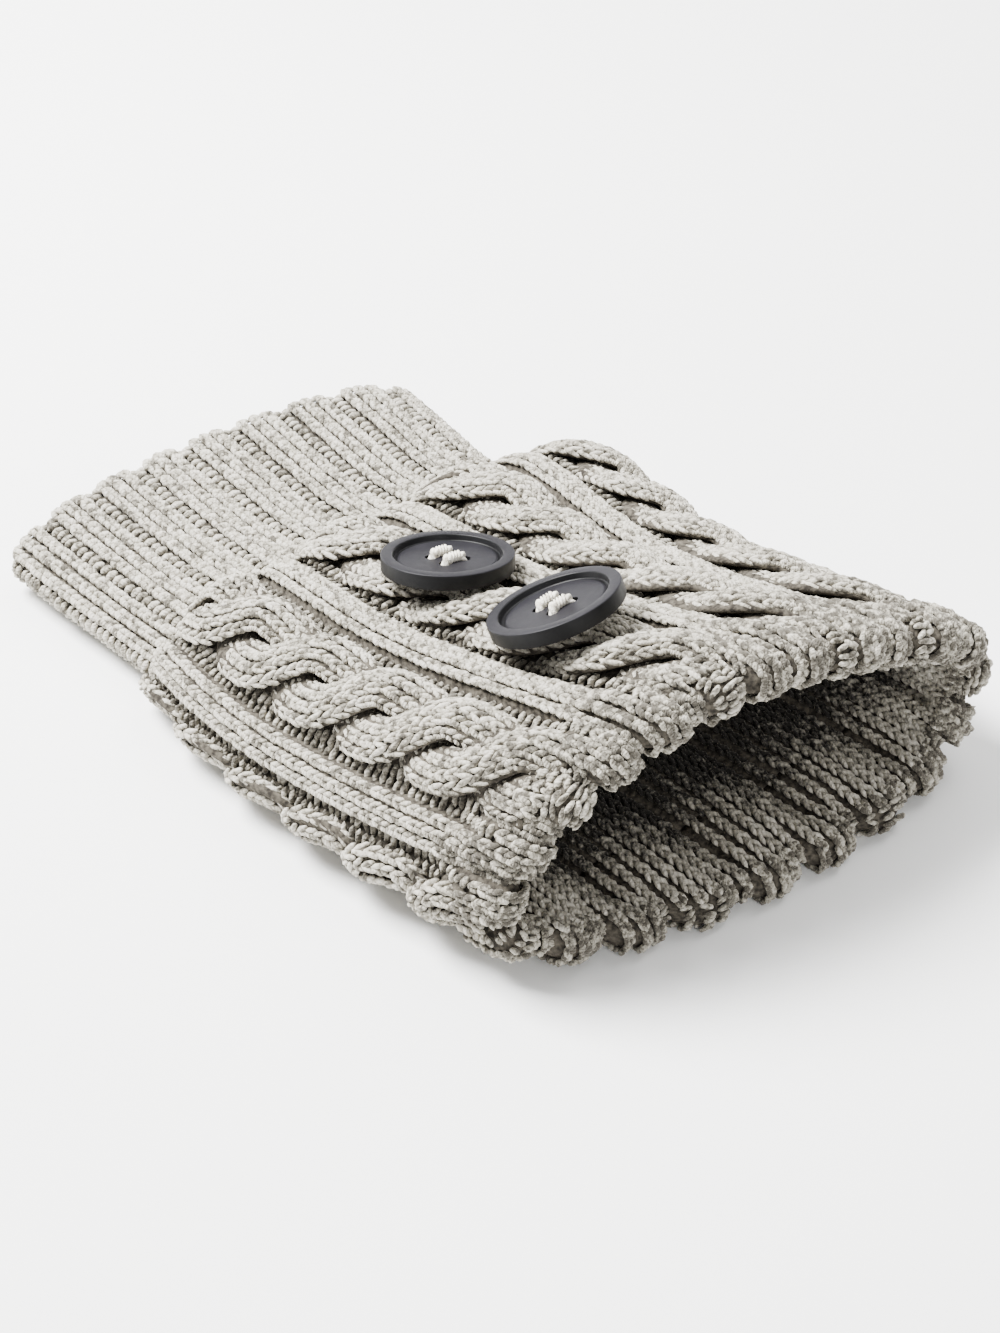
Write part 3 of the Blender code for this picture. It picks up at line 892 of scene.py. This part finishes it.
class CUFF_OT_rope_cables(bpy.types.Operator):
    """Knits the eight rope cables, two strands of four columns each"""

    bl_idname = "cuff.rope_cables"
    bl_label = "Rope cables"

    def execute(self, context):
        rng = np.random.default_rng(23)
        cloth = context.scene.cuff_cloth
        offsets = STRAND_COLUMN * (np.arange(4) - 1.5)
        ends = (TUBE.seam - 0.5, TUBE.end - 0.5)
        for number in range(CABLES_AROUND):
            beneath = 3 <= number <= 5  # on the layer that the cuff lies on
            # Only the folded cable shows its strands right through the crossings.
            least = -1.1 if number == FOLDED_CABLE else -0.96
            groups = []
            for phase in (0.0, math.pi):
                points, up, over = strand_points(cloth, number, phase, STRAND_ROW, offsets, *ends)
                # Painted shade: the strands darken towards the hem.
                shade = -1.8 * smooth((-points[..., 1] - 48.0) / 25.0)
                stitches = knit(points, up, rng, gauge=2.55, shade=shade)
                groups.append(pick(stitches, np.tile((over > least).ravel(), 2)))
            knitted(f"rope_cable_{number + 1}", leg_loop(3 if beneath else 4), groups)
        return {"FINISHED"}


class CUFF_OT_cable_cores(bpy.types.Operator):
    """Fills the strands of the cables under their stitches"""

    bl_idname = "cuff.cable_cores"
    bl_label = "Cable cores"

    def execute(self, context):
        cloth = context.scene.cuff_cloth
        # The cores take the ground's dark finish: painted shade in the gaps between the strands'
        # stitches.
        ground = bpy.data.materials["shaded_ground_knit"]
        ends = (TUBE.seam + 1.0, TUBE.end - 3.0)
        angle = TURN * np.arange(12)[None, :, None] / 12
        parts = []
        for number in range(CABLES_AROUND):
            sink = (2.3, 0.95) if number == FOLDED_CABLE else (2.0, 0.3)
            for phase in (0.0, math.pi):
                middle, up, _ = strand_points(cloth, number, phase, 1.6, [0.0], *ends, *sink)
                _, side, square = frames(middle, up)
                oval = side * (4.6 * np.cos(angle)) + square * (1.4 * np.sin(angle))
                parts.append(middle + oval)
        points, corners, sizes = tubes(parts)
        settle(plain_object("cable_cores", points, corners, sizes, ground), "oatmeal_yarn")
        return {"FINISHED"}


def tubes(parts):
    """Points and faces of closed tubes, each given as rings (rings, around, 3)."""
    points = []
    corners = []
    sizes = []
    first = 0
    for ring in parts:
        rows, around = ring.shape[:2]
        i = np.arange(around)
        j = (i + 1) % around
        for row in range(rows - 1):
            near = first + row * around
            far = near + around
            corners.append(np.stack([near + i, near + j, far + j, far + i], axis=1).ravel())
            sizes.append(np.full(around, 4))
        for near, way in ((first, i[::-1]), (first + (rows - 1) * around, i)):
            corners.append(near + way)
            sizes.append([around])
        points.append(ring.reshape(-1, 3))
        first += rows * around
    return np.concatenate(points), np.concatenate(corners), np.concatenate(sizes)


class CUFF_OT_plain_ribs(bpy.types.Operator):
    """Knits the plain ribs and the purl troughs between the cables"""

    bl_idname = "cuff.plain_ribs"
    bl_label = "Plain ribs and troughs"

    def execute(self, context):
        rng = np.random.default_rng(37)
        row = context.scene.cuff_cloth.row / MM
        share, kind = body_shares()
        lengths = rows_between(TUBE.seam + 1.2, TUBE.border + 1.0, row)

        def sunk_columns(name, depth):
            """The columns that are knitted as this kind, this far under the face."""
            place = share[kind == name]
            return columns_at(place, lengths, lambda u, w: face_height(u, w) - depth)

        ribs = knit(*sunk_columns("plain", 0.35), rng, gauge=2.45)
        knitted("plain_ribs", leg_loop(), [ribs])
        columns = sunk_columns("purl", 0.25)
        # Painted shade darkens the sunk purl troughs.
        troughs = purl(*columns, rng, gauge=2.8, wild=0.22, loose=0.14, shade=-2.0)
        knitted("purl_troughs", bar_loop(), [troughs])
        # Behind the cables only the outer columns and the first rows can be seen.
        columns = sunk_columns("cable", 0.1)
        # Painted shade darkens the bed behind the cables.
        bed = purl(*columns, rng, gauge=2.5, wild=0.25, loose=0.12, shade=-2.5)
        outer = repeat_of(share[kind == "cable"]) > 0.2
        seen = outer[None, :] | (lengths < TUBE.seam + 14.0)[:, None]
        knitted("cable_bed", bar_loop(3), [pick(bed, seen.ravel())])
        return {"FINISHED"}


def lip_points(turn, angle, lift):
    """Points over the hem's lip and back into the mouth: the angle runs from zero on the
    outer face to half a turn on the inner one, and lift is how far the points stand off."""
    end = np.full_like(turn, TUBE.end)
    outer = face_height(turn, end)
    inner = back_height(turn, end)
    base, out = TUBE.at(turn, end, 0.5 * (outer + inner))
    down = unit(TUBE.look_up(TUBE.down, turn, end))
    away = out * np.cos(angle)[..., None] + down * np.sin(angle)[..., None]
    points = base + away * (0.5 * (outer - inner) + lift)[..., None]
    points[..., 2] = np.maximum(points[..., 2], STITCH_LIFT)
    return points, away


class CUFF_OT_hem(bpy.types.Operator):
    """Knits the hem: the columns run on over the thick lip, which rolls inwards, with a
    patch of chunky purl at the foot of each cable"""

    bl_idname = "cuff.hem"
    bl_label = "Hem"

    def execute(self, context):
        rng = np.random.default_rng(41)
        row = context.scene.cuff_cloth.row / MM
        share, kind = body_shares()
        lengths = rows_between(TUBE.border - 1.0, TUBE.end, row)
        face, face_out = columns_at(share, lengths, lambda u, w: face_height(u, w) - 0.25)
        turn, angle = np.broadcast_arrays(share[None, :], np.linspace(0.35, math.pi, 8)[:, None])
        lip, lip_out = lip_points(turn, angle, -0.25)
        points = np.concatenate([face, lip])
        out = np.concatenate([face_out, lip_out])
        length = np.concatenate([lengths, TUBE.end + 3.0 * angle[:, 0]])
        patch = (repeat_of(share) < 0.14)[None, :] & (np.abs(length - TUBE.end) < 7.5)[:, None]
        chunky = patch | ((kind == "purl")[None, :] & (length < TUBE.end - 5.0)[:, None])
        shown = (length > TUBE.border + 8.0)[:, None] | (kind != "cable")[None, :]
        # Painted shade darkens the hem's legs and bars.
        legs = knit(points, out, rng, gauge=2.85, loose=0.13, shade=-2.3)
        bars = purl(points, out, rng, gauge=2.3, loose=0.16, wild=0.3, plump=1.08, shade=-1.5)
        knitted("hem_legs", leg_loop(), [pick(legs, np.tile((shown & ~chunky).ravel(), 2))])
        knitted("hem_bars", bar_loop(), [pick(bars, (shown & chunky).ravel())])
        return {"FINISHED"}


class CUFF_OT_inner_face(bpy.types.Operator):
    """Knits the back of the cloth where the open ends show it"""

    bl_idname = "cuff.inner_face"
    bl_label = "Inner face"

    def execute(self, context):
        rng = np.random.default_rng(53)
        share, _ = body_shares()
        lengths = rows_between(TUBE.end - INNER_DEPTH, TUBE.end - 0.5, INNER_ROW)
        points, out = columns_at(share, lengths, lambda u, w: back_height(u, w) + 0.25)
        groove = 1.0 - round_top(2.0 * (share - CABLE_TURN) * CABLES_AROUND)
        # Painted shade darkens the ridges the deeper they lie in the mouth, and in the grooves
        # between them.
        shade = -0.5 * np.maximum(TUBE.end - 7.0 - lengths, 0.0)[:, None] - 4.0 * groove[None, :]
        ridges = knit(points, -out, rng, gauge=2.55, shade=shade)
        knitted("inner_ridges", leg_loop(3), [ridges], inner_finish())
        lengths = rows_between(-0.2, 16.0, INNER_ROW)
        points, out = columns_at(edge_shares(), lengths, lambda u, w: back_height(u, w) + 0.25)
        knitted("band_inner_purl", bar_loop(), [purl(points, -out, rng, gauge=2.4)])
        return {"FINISHED"}


def seat_matrix(spot):
    """Places a part made about the button's own axis, in millimetres."""
    tilt = Vector((0.0, 0.0, 1.0)).rotation_difference(facing(spot)).to_matrix().to_4x4()
    turn = Matrix.Rotation(math.radians(spot.turn), 4, "Z")
    place = Matrix.Translation(Vector((spot.x, spot.y, SEATS[spot.name])))
    return place @ tilt @ turn


def select_faces(mesh, test):
    """Selects the faces that pass the test, in object mode."""
    for part in (mesh.vertices, mesh.edges):
        part.foreach_set("select", np.zeros(len(part), bool))
    for face in mesh.polygons:
        face.select = test(face)


class CUFF_OT_buttons(bpy.types.Operator):
    """Makes the two four-hole buttons with a raised rim and a dished face"""

    bl_idname = "cuff.buttons"
    bl_label = "Buttons"

    def execute(self, context):
        colours = context.scene.cuff_colours
        # The sides and the groove take a copy of the plastic darkened as painted shade; the face
        # and rim take the plain one.
        shades = (colours.button_shaded_side, colours.button_shade)
        side = moulded_plastic("shaded_charcoal_polyester", *shades)
        shades = (colours.button_top, colours.button_mottle)
        top = moulded_plastic("satin_charcoal_polyester", *shades)
        for spot in BUTTONS:
            made = self.button(context.scene.cuff_buttons, spot)
            made.data.materials.append(side)
            made.data.materials.append(top)
            settle(made, "charcoal_button", spot.name)
        return {"FINISHED"}

    def button(self, sizes, spot):
        """One button: a turned disc, dished and drilled."""
        deselect()
        bpy.ops.mesh.primitive_cylinder_add(
            vertices=sizes.sides,
            radius=BUTTON_RADIUS * MM,
            depth=BUTTON_THICK * MM,
            location=(0.0, 0.0, 0.5 * BUTTON_THICK * MM),
        )
        made = bpy.context.object
        made.name = made.data.name = spot.name + "_moulded"
        bpy.ops.object.transform_apply(location=True, rotation=False, scale=False)
        select_faces(made.data, lambda face: face.normal.z > 0.9)
        bpy.ops.object.mode_set(mode="EDIT")
        bpy.ops.mesh.select_mode(type="FACE")
        bpy.ops.mesh.inset(thickness=sizes.rim, depth=0.0)
        bpy.ops.mesh.inset(thickness=0.35 * MM, depth=-sizes.dish)
        for thickness, depth in GROOVE_STEPS:
            bpy.ops.mesh.inset(thickness=thickness * MM, depth=depth * MM)
        bpy.ops.object.mode_set(mode="OBJECT")
        sharp = {"limit_method": "ANGLE", "angle_limit": 0.6}
        self.finish(made, "BEVEL", width=0.95 * MM, segments=5, **sharp)
        for x in (-0.5, 0.5):
            for y in (-0.5, 0.5):
                self.drill(made, x * HOLE_SPACING, y * HOLE_SPACING)
        groove = BUTTON_RADIUS * MM - sizes.rim
        for face in made.data.polygons:
            away = face.center.xy.length
            # Faces in the groove join the sides in the copy with painted shade.
            shaded = groove - 1.1 * MM < away < groove + 0.1 * MM
            top = face.normal.z > 0.45 and face.center.z > 0.3 * BUTTON_THICK * MM
            face.material_index = int(top and not shaded)
        deselect()
        made.select_set(True)
        bpy.context.view_layer.objects.active = made
        bpy.ops.object.shade_smooth_by_angle(angle=0.7)
        place = Matrix.Scale(MM, 4) @ seat_matrix(spot) @ Matrix.Scale(1.0 / MM, 4)
        made.data.transform(place)
        return made

    def drill(self, made, x, y):
        """One hole through the button."""
        deselect()
        bpy.ops.mesh.primitive_cylinder_add(
            vertices=20, radius=HOLE_RADIUS * MM, depth=0.02, location=(x * MM, y * MM, 0.0)
        )
        cutter = bpy.context.object
        self.finish(made, "BOOLEAN", operation="DIFFERENCE", solver="EXACT", object=cutter)
        bpy.data.objects.remove(cutter, do_unlink=True)

    def finish(self, made, kind, **settings):
        """Applies a modifier with these settings."""
        modifier = made.modifiers.new(kind.lower(), kind)
        for name, value in settings.items():
            setattr(modifier, name, value)
        bpy.context.view_layer.objects.active = made
        bpy.ops.object.modifier_apply(modifier=modifier.name)


class CUFF_OT_button_yarn(bpy.types.Operator):
    """Sews each button on with two bars of plied yarn"""

    bl_idname = "cuff.button_yarn"
    bl_label = "Sewing yarn"

    def execute(self, context):
        colours = context.scene.cuff_colours
        shades = (colours.sewing_light, colours.sewing_mid, colours.sewing_dark)
        finish = heather_yarn("off_white_sewing_yarn", *shades, flecks=0.6)
        for spot in BUTTONS:
            matrix = np.array(seat_matrix(spot))
            parts = []
            for x in (-0.5, 0.5):
                for ply in range(3):
                    ring = self.ply(x * HOLE_SPACING * 0.93, ply / 3.0)
                    parts.append(ring @ matrix[:3, :3].T + matrix[:3, 3])
            points, corners, sizes = tubes(parts)
            uv, tint = np.zeros((len(points), 2)), np.zeros(len(points))
            name = spot.name + "_sewing"
            made = plain_object(name, points, corners, sizes, finish, uv, tint)
            yarn = spot.name.replace("button", "sewing_yarn")
            settle(made, "sewing_yarn", yarn + "_left", yarn + "_right")
        return {"FINISHED"}

    def ply(self, x, share):
        """Rings of one ply of a bar, twisted about the bar's own line."""
        half = 0.5 * HOLE_SPACING
        floor = BUTTON_THICK - 1.5
        run = np.linspace(-1.0, 1.0, 40)
        y = half * np.clip(1.25 * run, -1.0, 1.0) * (1.0 - 0.1 * np.abs(run))
        z = floor + 1.25 - 3.4 * smooth((np.abs(run) - 0.45) / 0.55) ** 1.3
        line = np.stack([np.full_like(run, x), y, z], axis=1)[:, None]
        up = np.tile(np.array([1.0, 0.0, 0.0]), (len(run), 1, 1))
        _, side, square = frames(line, up)
        twist = TURN * (share + 1.4 * run)[:, None, None]
        offset = 0.55 * (side * np.cos(twist) + square * np.sin(twist))
        angle = (TURN * np.arange(8) / 8)[None, :, None]
        return line + offset + 0.6 * (side * np.cos(angle) + square * np.sin(angle))


class CUFF_OT_sheets(bpy.types.Operator):
    """Takes no step and leaves the cloth as it is"""

    bl_idname = "cuff.sheets"
    bl_label = "Cut of the cloth"

    def execute(self, context):
        return {"FINISHED"}


class CUFF_OT_stage(bpy.types.Operator):
    """Sets the pale floor, the soft studio light and the camera"""

    bl_idname = "cuff.stage"
    bl_label = "Stage"

    def execute(self, context):
        deselect()
        bpy.ops.mesh.primitive_plane_add(size=6.0, location=(0.0, 0.0, -0.00005))
        floor = bpy.context.object
        floor.name = "floor"
        # Matt white card, almost even: it gives a pale ground with a soft shadow.
        matt = {"Roughness": 0.9, "Specular IOR Level": 0.1}
        paper, tree, shader = new_material("white_paper_floor", matt)
        place = add_node(tree, "ShaderNodeTexCoord").outputs["Object"]
        noise = add_node(tree, "ShaderNodeTexNoise", None, {"Scale": 3.0}, {"Vector": place})
        stops = [(0.3, linear("#F6F6F5")), (0.7, linear("#FAFAF9"))]
        colour = ramp(tree, noise.outputs["Fac"], stops)
        tree.links.new(colour, shader.inputs["Base Color"])
        floor.data.materials.append(paper)

        world = bpy.data.worlds.new("soft_studio")
        world.use_nodes = True
        background = world.node_tree.nodes["Background"]
        background.inputs["Color"].default_value = (1.0, 1.0, 1.0, 1.0)
        background.inputs["Strength"].default_value = 0.45
        context.scene.world = world
        self.lamp("key_softbox", (-0.3, 0.5, 0.85), 0.5, 66.0)
        self.lamp("fill_softbox", (0.6, 0.1, 0.9), 0.8, 12.0)
        self.lamp("front_softbox", (-0.1, -0.9, 0.4), 0.6, 5.0)

        camera = bpy.data.objects.new("camera", bpy.data.cameras.new("camera"))
        camera.data.lens = 60.0
        camera.data.sensor_width = 36.0
        camera.data.clip_start = 0.01
        camera.location = Vector((-219.4, -295.8, 303.4)) * MM
        look = Vector((0.4701, 0.6105, -0.6374))
        camera.rotation_euler = look.to_track_quat("-Z", "Y").to_euler()
        context.collection.objects.link(camera)
        context.scene.camera = camera
        return {"FINISHED"}

    def lamp(self, name, place, size, power):
        """A square softbox that points at the cuff."""
        data = bpy.data.lights.new(name, "AREA")
        data.size = size
        data.energy = power
        made = bpy.data.objects.new(name, data)
        made.location = place
        aim = Vector((0.0, 0.0, 0.02)) - Vector(place)
        made.rotation_euler = aim.to_track_quat("-Z", "Y").to_euler()
        bpy.context.collection.objects.link(made)


OPERATORS = (
    CUFF_OT_cloth,
    CUFF_OT_ribbed_band,
    CUFF_OT_cable_cores,
    CUFF_OT_rope_cables,
    CUFF_OT_plain_ribs,
    CUFF_OT_hem,
    CUFF_OT_inner_face,
    CUFF_OT_buttons,
    CUFF_OT_button_yarn,
    CUFF_OT_sheets,
    CUFF_OT_stage,
)


class CUFF_PT_pieces(bpy.types.Panel):
    """Lists the settings and the pieces of the cuff"""

    bl_idname = "CUFF_PT_pieces"
    bl_label = "Boot cuff"
    bl_space_type = "VIEW_3D"
    bl_region_type = "UI"
    bl_category = "Cuff"

    def draw(self, context):
        scene = context.scene
        for group in (scene.cuff_cloth, scene.cuff_buttons, scene.cuff_colours):
            for name in group.__annotations__:
                self.layout.prop(group, name)
        for operator in OPERATORS:
            self.layout.operator(operator.bl_idname)


CLASSES = (CuffCloth, CuffButtons, CuffColours, *OPERATORS, CUFF_PT_pieces)


def register():
    """Registers the settings, the operators and the panel."""
    for kind in CLASSES:
        bpy.utils.register_class(kind)
    bpy.types.Scene.cuff_cloth = bpy.props.PointerProperty(type=CuffCloth)
    bpy.types.Scene.cuff_buttons = bpy.props.PointerProperty(type=CuffButtons)
    bpy.types.Scene.cuff_colours = bpy.props.PointerProperty(type=CuffColours)


def unregister():
    """Takes them away again."""
    del bpy.types.Scene.cuff_cloth
    del bpy.types.Scene.cuff_buttons
    del bpy.types.Scene.cuff_colours
    for kind in reversed(CLASSES):
        bpy.utils.unregister_class(kind)


def main():
    """Makes every piece in order."""
    register()
    for operator in OPERATORS:
        group, name = operator.bl_idname.split(".")
        getattr(getattr(bpy.ops, group), name)()


if __name__ == "__main__":
    main()
